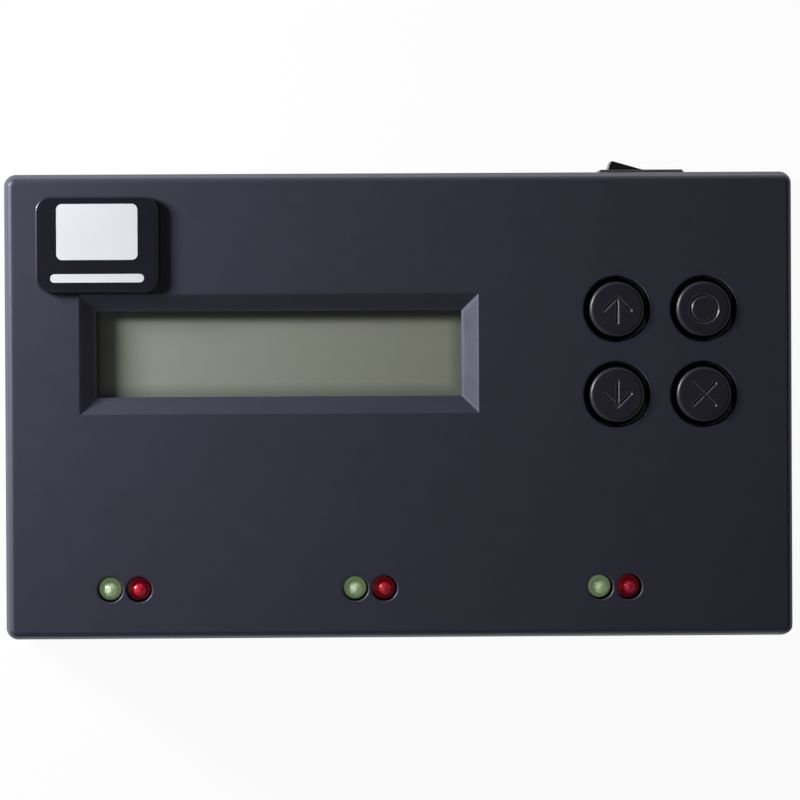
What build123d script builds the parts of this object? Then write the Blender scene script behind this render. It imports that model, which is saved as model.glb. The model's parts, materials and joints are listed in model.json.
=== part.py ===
from build123d import *
import math
import os

# A desktop memory-card duplicator: one source slot and two target slots in the front wall,
# a two-line character display, four keys and three pairs of lamps on top, and a rocker
# switch and a power inlet in the rear wall. Millimetres throughout. X runs to the right,
# Y to the rear and Z up from the table; plan positions are measured from the case's centre.

# Case
case_width = 139.0
case_depth = 82.0
case_height = 30.0
lower_height = 20.5
wall = 2.2
roof = 2.4
floor_thickness = 2.2
draft_angle = 5.0
corner_radius = 2.1
cavity_radius = 1.4
top_edge_radius = 1.0
bottom_edge_radius = 0.8
seam_bevel = 0.35
lip_height = 1.5
lip_thickness = 1.0
seam_gap = 0.15
fit_gap = 0.1

# Feet
foot_diameter = 9.0
foot_proud = 2.0
foot_recess = 0.8
foot_bevel = 0.5
foot_spacing_x = 100.0
foot_spacing_y = 60.0

# Case screws: two in the rear corners, two between the card slots
screw_diameter = 3.0
screw_head_diameter = 5.2
screw_head_height = 1.8
screw_head_radius = 0.6
screw_bite = 7.0
screw_sink = 3.0
recess_length = 3.2
recess_width = 0.8
recess_depth = 0.9
post_diameter = 7.2
post_top_above_floor = 8.3
rear_post_inset = 7.4
front_post_inset = 6.6

# Display window and the display module behind it
window_width = 64.0
window_height = 15.0
window_rear_margin = 21.2
bevel_width = 3.0
bevel_depth = 2.0
window_edge_radius = 0.25
gasket_thickness = 1.0
gasket_width = 2.4
display_frame_border_x = 2.8
display_frame_border_y = 4.3
display_frame_depth = 6.0
display_frame_sheet = 0.5
display_frame_corner = 0.4
display_view_margin = 0.8
display_glass_thickness = 2.0
display_glass_overlap = 1.4
display_strip_width = 2.0
display_board_border_x = 4.4
display_board_border_y = 5.4
display_hole_inset = 2.5
display_tab_width = 2.0
display_tab_spacing = 40.0
display_tab_reach = 0.7
display_boss_diameter = 4.8
# Share of the width left over beside the display board and the keys that lies on the board's left
display_left_share = 0.3148

# Circuit boards
board_thickness = 1.6
board_wall_gap = 0.8
board_corner = 0.5
main_board_lift = 4.0
display_board_gap = 2.5
panel_board_front_gap = 1.8
panel_board_jack_gap = 1.8
board_screw_diameter = 2.2
board_screw_head_diameter = 4.2
board_screw_head_height = 1.4
board_screw_bite = 3.6
board_recess_length = 2.6
board_recess_width = 0.7
board_recess_depth = 0.7
board_boss_diameter = 5.2
panel_boss_diameter = 4.4
panel_screw_behind_lamps = 10.0
main_screw_ahead_of_socket_rear = 6.0
main_screw_left_inset = 20.0
main_screw_jack_offset = 20.0
main_screw_rear_inset = 7.0
pin_pitch = 2.54
pin_side = 0.64
pin_reach = 1.4
display_pin_count = 16
link_pin_columns = 8
link_strip_height = 2.1
link_strip_width = 5.0
link_socket_floor = 1.0
link_pin_end_gap = 0.7
link_memory_spacing = 20.0
link_y = 4.0

# Keys and their tactile switches
key_diameter = 9.7
key_hole_diameter = 11.6
key_flange_diameter = 11.0
key_flange_height = 1.2
key_proud = 0.6
key_edge_radius = 0.7
key_wall = 1.1
key_travel = 0.3
key_spacing_x = 15.24
key_spacing_y = 15.0
keys_right_gap = 8.0
keys_behind_window = 0.05
key_bottom_clearance = 0.6
key_socket_diameter = 6.2
mark_width = 0.75
mark_depth = 0.22
mark_slope = 55.0
hole_edge_radius = 0.25
tact_side = 12.0
tact_body_height = 3.6
tact_base_height = 1.2
tact_cover_sheet = 0.4
tact_cover_side = 11.2
tact_cavity_diameter = 7.4
tact_plunger_diameter = 5.6
tact_plunger_collar = 0.9
tact_square = 3.8
tact_total_height = 7.3
tact_nub_diameter = 2.0
tact_dome_room = 0.25
tact_shoulder = 0.5
tact_leg_spacing_x = 12.5
tact_leg_spacing_y = 5.0
tact_leg_width = 1.0
tact_leg_sheet = 0.3
tact_leg_reach = 0.7
moulding_corner = 0.6

# Indicator lamps: a green and a red one over each card slot
lamp_diameter = 3.0
lamp_height = 5.3
lamp_flange_diameter = 3.8
lamp_flange_height = 1.0
lamp_hole_diameter = 4.5
lamp_recess = 0.3
lamp_spacing = 5.08
lamp_lead_side = 0.5
lamp_lead_spacing = 2.54
lamp_spacer_diameter = 4.2
lamp_spacer_bore = 0.9
lamp_lead_reach = 0.7
lamp_row_from_front = 9.1

# Card slots and card sockets
slot_width = 25.4
slot_height = 3.0
slot_flare = 0.6
# Shares of the width left over beside the three sockets that lie on their left and right
socket_left_share = 0.0922
socket_right_share = 0.3176
socket_width = 28.0
socket_depth = 27.0
socket_floor = 0.6
socket_channel_width = 24.4
socket_channel_height = 2.4
socket_rear_wall = 1.8
socket_cover_sheet = 0.3
socket_cover_depth = 23.0
socket_setback = 0.4
contact_count = 9
contact_pitch = 2.5
contact_width = 0.9
contact_sheet = 0.2
contact_slot_width = 1.3
contact_slot_length = 14.0
contact_bump_height = 0.9
contact_bump_length = 1.0
contact_bump_setback = 3.0
contact_tip_setback = 1.0
contact_foot = 3.0
contact_tail = 1.6

# Power inlet
jack_switch_spacing = 19.2
jack_width = 9.2
jack_height = 11.0
jack_body_depth = 12.4
jack_axis_height = 6.5
jack_nose_diameter = 7.8
jack_nose_recess = 0.2
jack_bore_diameter = 6.2
jack_bore_depth = 9.5
jack_pin_diameter = 2.0
jack_pin_root_diameter = 1.6
jack_pin_root_bare = 0.5
jack_pin_setback = 1.0
jack_leaf_width = 2.2
jack_leaf_sheet = 0.3
jack_leaf_foot = 3.0
jack_leaf_heel = 2.5
jack_leaf_rise = 1.0
jack_leaf_reach = 3.5

# Rocker switch
switch_right_margin = 26.3
switch_axis_above_floor = 10.6
switch_flange_length = 15.0
switch_flange_height = 10.5
switch_flange_depth = 0.5
switch_flange_bevel = 0.35
switch_body_length = 13.4
switch_body_height = 8.6
switch_body_depth = 12.0
switch_body_wall = 0.6
switch_body_floor = 1.2
switch_snap = 0.5
switch_snap_length = 2.5
rocker_radius = 5.9
rocker_gap = 0.2
rocker_side_gap = 0.15
rocker_tilt = 10.5
rocker_pivot_depth = 0.7
rocker_end_height = 1.8
rocker_dish_angle = 5.5
rocker_underside = 2.0
rocker_pin_diameter = 1.8
rocker_pin_bite = 0.5
rocker_stem_width = 2.6
rocker_stem_length = 3.6
rocker_edge_radius = 0.3
rocker_mark_size = 2.2
rocker_mark_line = 0.45
rocker_mark_depth = 0.15
rocker_mark_place = 0.55
seesaw_length = 8.4
seesaw_width = 3.6
seesaw_thickness = 0.6
seesaw_tilt = 6.0
seesaw_gap = 0.15
terminal_width = 2.8
terminal_sheet = 0.8
terminal_tip_radius = 0.3
terminal_reach = 5.5
terminal_offset = 3.4
wire_diameter = 1.3
wire_run = 14.5
wire_straight_at_terminal = 3.5
wire_straight_at_plug = 4.0
wire_plug_width = 6.4
wire_plug_depth = 5.0
wire_plug_height = 4.6
wire_bend_radius = 3.4

# Parts on the main board
controller_side = 16.0
controller_height = 1.4
controller_y = 10.0
memory_width = 12.0
memory_depth = 8.0
memory_height = 1.1
memory_left_margin = 16.5
memory_rows_y = [12.0, -1.0]
inductor_side = 7.0
inductor_height = 3.6
inductor_corner = 1.2
inductor_jack_offset = -2.0
inductor_y = 12.0
crystal_length = 11.0
crystal_width = 4.6
crystal_height = 3.4
crystal_place = (-14.0, 22.0)
capacitor_diameter = 6.3
capacitor_height = 5.2
capacitor_edge = 0.6
capacitor_jack_offsets = [(9.0, 20.0), (9.0, 12.0), (-12.0, 22.0)]
part_edge = 0.3

# Badge on the top face, left plain
badge_width = 21.6
badge_height = 16.8
badge_left_margin = 5.7
badge_rear_margin = 4.0
badge_thickness = 1.3
badge_corner = 2.6
badge_edge_radius = 0.4
badge_panel_width = 14.2
badge_panel_height = 9.8
badge_panel_rise = 2.2
badge_panel_corner = 1.0
badge_bar_width = 16.4
badge_bar_height = 1.5
badge_bar_drop = 5.9
badge_inlay_depth = 0.3

# Heights worked out from the sizes above
underside_z = foot_proud
floor_z = underside_z + floor_thickness
split_z = underside_z + lower_height
top_z = underside_z + case_height
ceiling_z = top_z - roof
main_board_z = floor_z + main_board_lift
main_board_top = main_board_z + board_thickness
display_frame_top = ceiling_z - gasket_thickness
display_board_top = display_frame_top - display_frame_depth
display_board_z = display_board_top - board_thickness
panel_board_top = display_board_z - display_board_gap
panel_board_z = panel_board_top - board_thickness
post_top_z = floor_z + post_top_above_floor
switch_z = floor_z + switch_axis_above_floor
jack_z = main_board_top + jack_axis_height

# The rocker's raised end is the rearmost point. The model is centred between that and the front.
rocker_half_length = math.sqrt(rocker_radius**2 - rocker_end_height**2)
rocker_proud = (
    rocker_half_length * math.sin(math.radians(rocker_tilt))
    + rocker_end_height * math.cos(math.radians(rocker_tilt))
    - rocker_pivot_depth
)
front_y = -(case_depth + rocker_proud) / 2
rear_y = front_y + case_depth
centre_y = (front_y + rear_y) / 2

# Plan positions worked out from the sizes above, from the case's centre
cavity_width = case_width - 2 * wall
cavity_depth = case_depth - 2 * wall
board_edge_x = cavity_width / 2 - board_wall_gap
screw_edge_x = board_edge_x - board_screw_head_diameter
switch_x = case_width / 2 - switch_right_margin
jack_x = switch_x - jack_switch_spacing
socket_outer_width = socket_width + 2 * socket_cover_sheet
socket_spare = cavity_width - 3 * socket_outer_width
first_slot_x = (socket_outer_width - cavity_width) / 2 + socket_spare * socket_left_share
last_slot_x = (cavity_width - socket_outer_width) / 2 - socket_spare * socket_right_share
slot_x = (first_slot_x + last_slot_x) / 2
slot_pitch = (last_slot_x - first_slot_x) / 2
slot_places_x = [first_slot_x, slot_x, last_slot_x]
view_width = window_width + 2 * display_view_margin
view_height = window_height + 2 * display_view_margin
display_frame_width = view_width + 2 * display_frame_border_x
display_frame_height = view_height + 2 * display_frame_border_y
display_board_width = display_frame_width + 2 * display_board_border_x
display_board_height = display_frame_height + 2 * display_board_border_y
keys_block_width = key_spacing_x + tact_side
keys_x = cavity_width / 2 - keys_right_gap - keys_block_width / 2
display_spare = cavity_width - display_board_width - keys_block_width - keys_right_gap
window_x = (display_board_width - cavity_width) / 2 + display_spare * display_left_share
window_y = case_depth / 2 - window_rear_margin - bevel_width - window_height / 2
keys_y = window_y + keys_behind_window
badge_x = -case_width / 2 + badge_left_margin + badge_width / 2
badge_y = case_depth / 2 - badge_rear_margin - badge_height / 2
panel_board_front_y = -cavity_depth / 2 + panel_board_front_gap
panel_board_rear_y = cavity_depth / 2 - jack_body_depth - panel_board_jack_gap
lamp_row_y = -case_depth / 2 + lamp_row_from_front
socket_front_y = -cavity_depth / 2 + socket_setback
socket_rear_y = socket_front_y + socket_depth
post_places = [
    (-case_width / 2 + rear_post_inset, case_depth / 2 - rear_post_inset),
    (case_width / 2 - rear_post_inset, case_depth / 2 - rear_post_inset),
    (slot_x - slot_pitch / 2, -case_depth / 2 + front_post_inset),
    (slot_x + slot_pitch / 2, -case_depth / 2 + front_post_inset),
]
foot_places = [
    (sx * foot_spacing_x / 2, sy * foot_spacing_y / 2) for sx in (-1, 1) for sy in (-1, 1)
]
display_hole_x = display_board_width / 2 - display_hole_inset
display_hole_y = display_board_height / 2 - display_hole_inset
display_screw_places = [
    (window_x + sx * display_hole_x, window_y + sy * display_hole_y) for sx in (-1, 1) for sy in (-1, 1)
]
key_places = {
    "up": (keys_x - key_spacing_x / 2, keys_y + key_spacing_y / 2),
    "ring": (keys_x + key_spacing_x / 2, keys_y + key_spacing_y / 2),
    "down": (keys_x - key_spacing_x / 2, keys_y - key_spacing_y / 2),
    "cross": (keys_x + key_spacing_x / 2, keys_y - key_spacing_y / 2),
}
# The panel board hangs from two front bosses and one in the middle of the four keys
panel_screw_places = [
    (-screw_edge_x, lamp_row_y + panel_screw_behind_lamps),
    (screw_edge_x, lamp_row_y + panel_screw_behind_lamps),
    (keys_x, keys_y),
]
main_screw_places = [
    (slot_x - slot_pitch / 2, socket_rear_y - main_screw_ahead_of_socket_rear),
    (slot_x + slot_pitch / 2, socket_rear_y - main_screw_ahead_of_socket_rear),
    (-screw_edge_x, 0),
    (screw_edge_x, 0),
    (-screw_edge_x + main_screw_left_inset, cavity_depth / 2 - main_screw_rear_inset),
    (jack_x - main_screw_jack_offset, cavity_depth / 2 - main_screw_rear_inset),
]


def level(z):
    """A level plane at that height, with its origin on the case's centre line."""
    return Plane(origin=(0, centre_y, z), x_dir=(1, 0, 0), z_dir=(0, 0, 1))


def upright(y):
    """An upright plane that faces the front, that far behind the case's centre. Sketches read (x, z)."""
    return Plane(origin=(0, centre_y + y, 0), x_dir=(1, 0, 0), z_dir=(0, -1, 0))


def side(x):
    """An upright plane that faces right, at that x. Sketches read (y, z), y from the case's centre."""
    return Plane(origin=(x, centre_y, 0), x_dir=(0, 1, 0), z_dir=(1, 0, 0))


def save(part, name):
    """Labels a finished piece and writes it under its own name."""
    part.label = name
    export_step(part, f"parts/{name}.step")


# Lower shell: floor, walls, screw posts and board standoffs
rebate_inset = wall - lip_thickness - seam_gap
with BuildPart() as lower_shell:
    with BuildSketch(level(underside_z)):
        RectangleRounded(case_width, case_depth, corner_radius)
    extrude(amount=lower_height)
    chamfer(lower_shell.edges().group_by(Axis.Z)[-1], length=seam_bevel)
    fillet(lower_shell.edges().group_by(Axis.Z)[0], radius=bottom_edge_radius)
    with BuildSketch(level(floor_z)):
        RectangleRounded(cavity_width, cavity_depth, cavity_radius)
    extrude(amount=split_z - floor_z, mode=Mode.SUBTRACT)
    with BuildSketch(level(split_z)):
        RectangleRounded(
            case_width - 2 * rebate_inset, case_depth - 2 * rebate_inset, corner_radius - rebate_inset
        )
    extrude(amount=-(lip_height + seam_gap), mode=Mode.SUBTRACT)
    with BuildSketch(level(floor_z)):
        with Locations(*post_places):
            Circle(post_diameter / 2)
    extrude(amount=post_top_z - floor_z)
    with BuildSketch(level(floor_z)):
        with Locations(*main_screw_places):
            Circle(board_boss_diameter / 2)
    extrude(amount=main_board_lift)
    # Clearance holes for the case screws, sunk from below
    with BuildSketch(level(underside_z)):
        with Locations(*post_places):
            Circle(screw_diameter / 2 + fit_gap)
    extrude(amount=post_top_z - underside_z, mode=Mode.SUBTRACT)
    with BuildSketch(level(underside_z)):
        with Locations(*post_places):
            Circle(screw_head_diameter / 2 + 2 * fit_gap)
    extrude(amount=screw_sink, mode=Mode.SUBTRACT)
    # Pilot holes in the standoffs
    with BuildSketch(level(main_board_z)):
        with Locations(*main_screw_places):
            Circle(board_screw_diameter / 2)
    extrude(amount=-(board_screw_bite + fit_gap), mode=Mode.SUBTRACT)
    # Foot recesses
    with BuildSketch(level(underside_z)):
        with Locations(*foot_places):
            Circle(foot_diameter / 2 + fit_gap)
    extrude(amount=foot_recess, mode=Mode.SUBTRACT)
    # Card slots through the front wall, level with the sockets' channels
    slot_z = main_board_top + socket_floor + socket_channel_height / 2
    with BuildSketch(upright(-case_depth / 2 + wall)):
        with Locations(*[(x, slot_z) for x in slot_places_x]):
            Rectangle(slot_width, slot_height)
    extrude(amount=wall, mode=Mode.SUBTRACT)
    front_face = lower_shell.faces().sort_by(Axis.Y)[0]
    chamfer(front_face.inner_wires().edges(), length=slot_flare)
    # Cut-outs for the switch and the power inlet through the rear wall
    with BuildSketch(upright(case_depth / 2)):
        with Locations((switch_x, switch_z)):
            Rectangle(switch_body_length + 2 * fit_gap, switch_body_height + 2 * fit_gap)
        with Locations((jack_x, jack_z)):
            Circle(jack_nose_diameter / 2 + fit_gap)
    extrude(amount=wall, mode=Mode.SUBTRACT)
save(lower_shell.part, "lower_shell")

# Upper shell: drafted walls, roof, display window, key and lamp holes, bosses
upper_height = top_z - split_z
with BuildPart() as upper_shell:
    with BuildSketch(level(split_z)):
        RectangleRounded(case_width, case_depth, corner_radius)
    extrude(amount=upper_height, taper=draft_angle)
    fillet(upper_shell.edges().group_by(Axis.Z)[-1], radius=top_edge_radius)
    chamfer(upper_shell.edges().group_by(Axis.Z)[0], length=seam_bevel)
    with BuildSketch(level(split_z)):
        RectangleRounded(cavity_width, cavity_depth, cavity_radius)
    extrude(amount=upper_height - roof, taper=draft_angle, mode=Mode.SUBTRACT)
    with BuildSketch(level(split_z)):
        RectangleRounded(
            case_width - 2 * (wall - lip_thickness),
            case_depth - 2 * (wall - lip_thickness),
            corner_radius - (wall - lip_thickness),
        )
        RectangleRounded(cavity_width, cavity_depth, cavity_radius, mode=Mode.SUBTRACT)
    extrude(amount=-lip_height)
    # Bosses for the case screws, the display module and the panel board
    with BuildSketch(level(post_top_z)):
        with Locations(*post_places):
            Circle(post_diameter / 2)
    extrude(amount=ceiling_z - post_top_z)
    with BuildSketch(level(display_board_top)):
        with Locations(*display_screw_places):
            Circle(display_boss_diameter / 2)
    extrude(amount=ceiling_z - display_board_top)
    with BuildSketch(level(panel_board_top)):
        with Locations(*panel_screw_places):
            Circle(panel_boss_diameter / 2)
    extrude(amount=ceiling_z - panel_board_top)
    # Pilot holes in the bosses
    with BuildSketch(level(post_top_z)):
        with Locations(*post_places):
            Circle(screw_diameter / 2)
    extrude(amount=screw_bite + 2 * fit_gap, mode=Mode.SUBTRACT)
    with BuildSketch(level(display_board_top)):
        with Locations(*display_screw_places):
            Circle(board_screw_diameter / 2)
    extrude(amount=board_screw_bite + fit_gap, mode=Mode.SUBTRACT)
    with BuildSketch(level(panel_board_top)):
        with Locations(*panel_screw_places):
            Circle(board_screw_diameter / 2)
    extrude(amount=board_screw_bite + fit_gap, mode=Mode.SUBTRACT)
    # Display window with its sloping surround
    with BuildSketch(level(top_z)):
        with Locations((window_x, window_y)):
            Rectangle(window_width + 2 * bevel_width, window_height + 2 * bevel_width)
    with BuildSketch(level(top_z - bevel_depth)):
        with Locations((window_x, window_y)):
            Rectangle(window_width, window_height)
    loft(mode=Mode.SUBTRACT)
    with BuildSketch(level(ceiling_z)):
        with Locations((window_x, window_y)):
            Rectangle(window_width, window_height)
    extrude(amount=roof, mode=Mode.SUBTRACT)
    upper_edges = upper_shell.edges().filter_by_position(Axis.Z, top_z - bevel_depth - fit_gap, top_z)
    surround_edges = upper_edges.filter_by(
        lambda edge: abs(edge.center().X - window_x) < window_width / 2 + bevel_width + fit_gap
        and abs(edge.center().Y - centre_y - window_y) < window_height / 2 + bevel_width + fit_gap
    )
    fillet(surround_edges, radius=window_edge_radius)
    # Key holes and lamp holes, each with a softened rim
    with BuildSketch(level(ceiling_z)):
        with Locations(*key_places.values()):
            Circle(key_hole_diameter / 2)
        for x in slot_places_x:
            with Locations((x - lamp_spacing / 2, lamp_row_y), (x + lamp_spacing / 2, lamp_row_y)):
                Circle(lamp_hole_diameter / 2)
    extrude(amount=roof, mode=Mode.SUBTRACT)
    rims = upper_shell.edges().group_by(Axis.Z)[-1].filter_by(lambda edge: edge.is_closed)
    fillet(rims, radius=hole_edge_radius)
save(upper_shell.part, "upper_shell")

# Feet
with BuildPart() as rubber_feet:
    with BuildSketch(level(0)):
        with Locations(*foot_places):
            Circle(foot_diameter / 2)
    extrude(amount=foot_proud + foot_recess)
    chamfer(rubber_feet.edges().group_by(Axis.Z)[0], length=foot_bevel)
save(rubber_feet.part, "rubber_feet")

# Case screws, with a cross recess in each head
screw_seat_z = underside_z + screw_sink
with BuildPart() as case_screws:
    with BuildSketch(level(screw_seat_z)):
        with Locations(*post_places):
            Circle(screw_head_diameter / 2)
    extrude(amount=-screw_head_height)
    fillet(case_screws.edges().group_by(Axis.Z)[0], radius=screw_head_radius)
    with BuildSketch(level(screw_seat_z)):
        with Locations(*post_places):
            Circle(screw_diameter / 2 - fit_gap / 2)
    extrude(amount=post_top_z - screw_seat_z + screw_bite)
    with BuildSketch(level(screw_seat_z - screw_head_height)):
        with Locations(*post_places):
            Rectangle(recess_length, recess_width)
            Rectangle(recess_width, recess_length)
    extrude(amount=recess_depth, mode=Mode.SUBTRACT)
save(case_screws.part, "case_screws")

# Board screws. Each seat is (places, seat height, which way the shank points).
board_screw_seats = [
    (display_screw_places, display_board_z, 1),
    (panel_screw_places, panel_board_z, 1),
    (main_screw_places, main_board_top, -1),
]
with BuildPart() as board_screws:
    for places, seat_z, way in board_screw_seats:
        with BuildSketch(level(seat_z)):
            with Locations(*places):
                Circle(board_screw_head_diameter / 2)
        extrude(amount=-way * board_screw_head_height)
        with BuildSketch(level(seat_z)):
            with Locations(*places):
                Circle(board_screw_diameter / 2 - fit_gap / 2)
        extrude(amount=way * (board_thickness + board_screw_bite))
        with BuildSketch(level(seat_z - way * board_screw_head_height)):
            with Locations(*places):
                Rectangle(board_recess_length, board_recess_width)
                Rectangle(board_recess_width, board_recess_length)
        extrude(amount=way * board_recess_depth, mode=Mode.SUBTRACT)
save(board_screws.part, "board_screws")

# Badge: a plain raised plaque with two flush white inlays, no lettering
badge_panel_place = (badge_x, badge_y + badge_panel_rise)
badge_bar_place = (badge_x, badge_y - badge_bar_drop)
badge_top_z = top_z + badge_thickness
with BuildPart() as badge_plaque:
    with BuildSketch(level(top_z)):
        with Locations((badge_x, badge_y)):
            RectangleRounded(badge_width, badge_height, badge_corner)
    extrude(amount=badge_thickness)
    fillet(badge_plaque.edges().group_by(Axis.Z)[-1], radius=badge_edge_radius)
    with BuildSketch(level(badge_top_z)):
        with Locations(badge_panel_place):
            RectangleRounded(badge_panel_width, badge_panel_height, badge_panel_corner)
        with Locations(badge_bar_place):
            SlotOverall(badge_bar_width, badge_bar_height)
    extrude(amount=-badge_inlay_depth, mode=Mode.SUBTRACT)
save(badge_plaque.part, "badge_plaque")

with BuildPart() as badge_inlays:
    with BuildSketch(level(badge_top_z - badge_inlay_depth)):
        with Locations(badge_panel_place):
            RectangleRounded(badge_panel_width, badge_panel_height, badge_panel_corner)
        with Locations(badge_bar_place):
            SlotOverall(badge_bar_width, badge_bar_height)
    extrude(amount=badge_inlay_depth)
save(badge_inlays.part, "badge_inlays")

# Foam gasket between the roof and the display's metal frame
with BuildPart() as window_gasket:
    with BuildSketch(level(display_frame_top)):
        with Locations((window_x, window_y)):
            Rectangle(
                window_width + display_view_margin + 2 * gasket_width,
                window_height + display_view_margin + 2 * gasket_width,
            )
            Rectangle(
                window_width + display_view_margin, window_height + display_view_margin, mode=Mode.SUBTRACT
            )
    extrude(amount=gasket_thickness)
save(window_gasket.part, "window_gasket")

# Display module: pressed metal frame with tabs through its board
tab_y = display_frame_height / 2 - display_frame_sheet / 2
tab_places = [
    (window_x + sx * display_tab_spacing / 2, window_y + sy * tab_y) for sx in (-1, 1) for sy in (-1, 1)
]
with BuildPart() as display_frame:
    with BuildSketch(level(display_board_top)):
        with Locations((window_x, window_y)):
            Rectangle(display_frame_width, display_frame_height)
    extrude(amount=display_frame_depth)
    fillet(display_frame.edges().group_by(Axis.Z)[-1], radius=display_frame_corner)
    with BuildSketch(level(display_board_top)):
        with Locations((window_x, window_y)):
            Rectangle(
                display_frame_width - 2 * display_frame_sheet, display_frame_height - 2 * display_frame_sheet
            )
    extrude(amount=display_frame_depth - display_frame_sheet, mode=Mode.SUBTRACT)
    with BuildSketch(level(display_board_top)):
        with Locations((window_x, window_y)):
            Rectangle(view_width, view_height)
    extrude(amount=display_frame_depth, mode=Mode.SUBTRACT)
    with BuildSketch(level(display_board_top)):
        with Locations(*tab_places):
            Rectangle(display_tab_width, display_frame_sheet)
    extrude(amount=-(board_thickness + display_tab_reach))
save(display_frame.part, "display_frame")

glass_width = view_width + 2 * display_glass_overlap
glass_height = view_height + 2 * display_glass_overlap
glass_z = display_frame_top - display_frame_sheet - display_glass_thickness
with BuildPart() as display_glass:
    with BuildSketch(level(glass_z)):
        with Locations((window_x, window_y)):
            Rectangle(glass_width, glass_height)
    extrude(amount=display_glass_thickness)
save(display_glass.part, "display_glass")

# Rubber connector strips between the glass's long edges and the board, light guide between them
strip_y = glass_height / 2 - display_strip_width / 2
with BuildPart() as display_strips:
    with BuildSketch(level(display_board_top)):
        with Locations((window_x, window_y - strip_y), (window_x, window_y + strip_y)):
            Rectangle(glass_width - 2 * display_strip_width, display_strip_width)
    extrude(amount=glass_z - display_board_top)
save(display_strips.part, "display_strips")

with BuildPart() as display_light_guide:
    with BuildSketch(level(display_board_top)):
        with Locations((window_x, window_y)):
            Rectangle(
                glass_width - 2 * display_strip_width,
                glass_height - 2 * display_strip_width - 2 * fit_gap,
            )
    extrude(amount=glass_z - display_board_top)
save(display_light_guide.part, "display_light_guide")

# Display board, with the screw holes, the tab slots and one row of pin holes along its front edge
display_pin_y = window_y - display_hole_y
display_pin_places = [
    (window_x + (n - (display_pin_count - 1) / 2) * pin_pitch, display_pin_y)
    for n in range(display_pin_count)
]
with BuildPart() as display_board:
    with BuildSketch(level(display_board_z)):
        with Locations((window_x, window_y)):
            RectangleRounded(display_board_width, display_board_height, board_corner)
        with Locations(*display_screw_places):
            Circle(board_screw_diameter / 2 + fit_gap, mode=Mode.SUBTRACT)
        with Locations(*tab_places):
            Rectangle(display_tab_width + 2 * fit_gap, display_frame_sheet + 2 * fit_gap, mode=Mode.SUBTRACT)
        with Locations(*display_pin_places):
            Rectangle(pin_side + fit_gap, pin_side + fit_gap, mode=Mode.SUBTRACT)
    extrude(amount=board_thickness)
save(display_board.part, "display_board")

with BuildPart() as display_pin_strip:
    with BuildSketch(level(panel_board_top)):
        with Locations((window_x, display_pin_y)):
            Rectangle(display_pin_count * pin_pitch, pin_pitch)
        with Locations(*display_pin_places):
            Rectangle(pin_side, pin_side, mode=Mode.SUBTRACT)
    extrude(amount=display_board_gap)
save(display_pin_strip.part, "display_pin_strip")

with BuildPart() as display_pins:
    with BuildSketch(level(panel_board_z - pin_reach)):
        with Locations(*display_pin_places):
            Rectangle(pin_side, pin_side)
    extrude(amount=display_board_top - panel_board_z + 2 * pin_reach)
save(display_pins.part, "display_pins")

# Panel board: carries the key switches, the lamps and the display
memory_x = -board_edge_x + memory_left_margin
link_x = memory_x + link_memory_spacing
link_places = [
    (link_x + (column - (link_pin_columns - 1) / 2) * pin_pitch, link_y + row * pin_pitch / 2)
    for column in range(link_pin_columns)
    for row in (-1, 1)
]
lamp_places = {}
for title, x in zip(("source", "target_1", "target_2"), slot_places_x):
    lamp_places[f"green_{title}"] = (x - lamp_spacing / 2, lamp_row_y)
    lamp_places[f"red_{title}"] = (x + lamp_spacing / 2, lamp_row_y)
lead_places = [(x + s * lamp_lead_spacing / 2, y) for x, y in lamp_places.values() for s in (-1, 1)]
tact_leg_places = [
    (x + sx * tact_leg_spacing_x / 2, y + sy * tact_leg_spacing_y / 2)
    for x, y in key_places.values()
    for sx in (-1, 1)
    for sy in (-1, 1)
]
post_notch = post_diameter / 2 + board_wall_gap
panel_middle_y = (panel_board_rear_y + panel_board_front_y) / 2
with BuildPart() as panel_board:
    with BuildSketch(level(panel_board_z)):
        with Locations((0, panel_middle_y)):
            RectangleRounded(2 * board_edge_x, panel_board_rear_y - panel_board_front_y, board_wall_gap)
        with Locations(*post_places):
            Circle(post_notch, mode=Mode.SUBTRACT)
        with Locations(*[(x, y - post_notch) for x, y in post_places[2:]]):
            Rectangle(2 * post_notch, 2 * post_notch, mode=Mode.SUBTRACT)
        with Locations(*panel_screw_places):
            Circle(board_screw_diameter / 2 + fit_gap, mode=Mode.SUBTRACT)
        with Locations(*display_pin_places, *link_places):
            Rectangle(pin_side + fit_gap, pin_side + fit_gap, mode=Mode.SUBTRACT)
        with Locations(*lead_places):
            Rectangle(lamp_lead_side + fit_gap, lamp_lead_side + fit_gap, mode=Mode.SUBTRACT)
        with Locations(*tact_leg_places):
            Rectangle(tact_leg_sheet + 2 * fit_gap, tact_leg_width + 2 * fit_gap, mode=Mode.SUBTRACT)
    extrude(amount=board_thickness)
save(panel_board.part, "panel_board")

# Key switches: a moulded base, a metal cover, four legs each, and a snap dome under the plunger
tact_floor_z = panel_board_top + tact_base_height
tact_body_top = panel_board_top + tact_body_height
with BuildPart() as tact_bases:
    with BuildSketch(level(panel_board_top)):
        with Locations(*key_places.values()):
            RectangleRounded(tact_side, tact_side, moulding_corner)
    extrude(amount=tact_body_height)
    with BuildSketch(level(tact_floor_z)):
        with Locations(*key_places.values()):
            Circle(tact_cavity_diameter / 2)
    extrude(amount=tact_body_height - tact_base_height, mode=Mode.SUBTRACT)
save(tact_bases.part, "tact_bases")

with BuildPart() as tact_covers:
    with BuildSketch(level(tact_body_top)):
        with Locations(*key_places.values()):
            RectangleRounded(tact_cover_side, tact_cover_side, moulding_corner)
            Circle(tact_plunger_diameter / 2 + fit_gap, mode=Mode.SUBTRACT)
    extrude(amount=tact_cover_sheet)
save(tact_covers.part, "tact_covers")

with BuildPart() as tact_legs:
    with BuildSketch(level(panel_board_z - tact_leg_reach)):
        with Locations(*tact_leg_places):
            Rectangle(tact_leg_sheet, tact_leg_width)
    extrude(amount=board_thickness + tact_leg_reach + tact_base_height)
save(tact_legs.part, "tact_legs")

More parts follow.
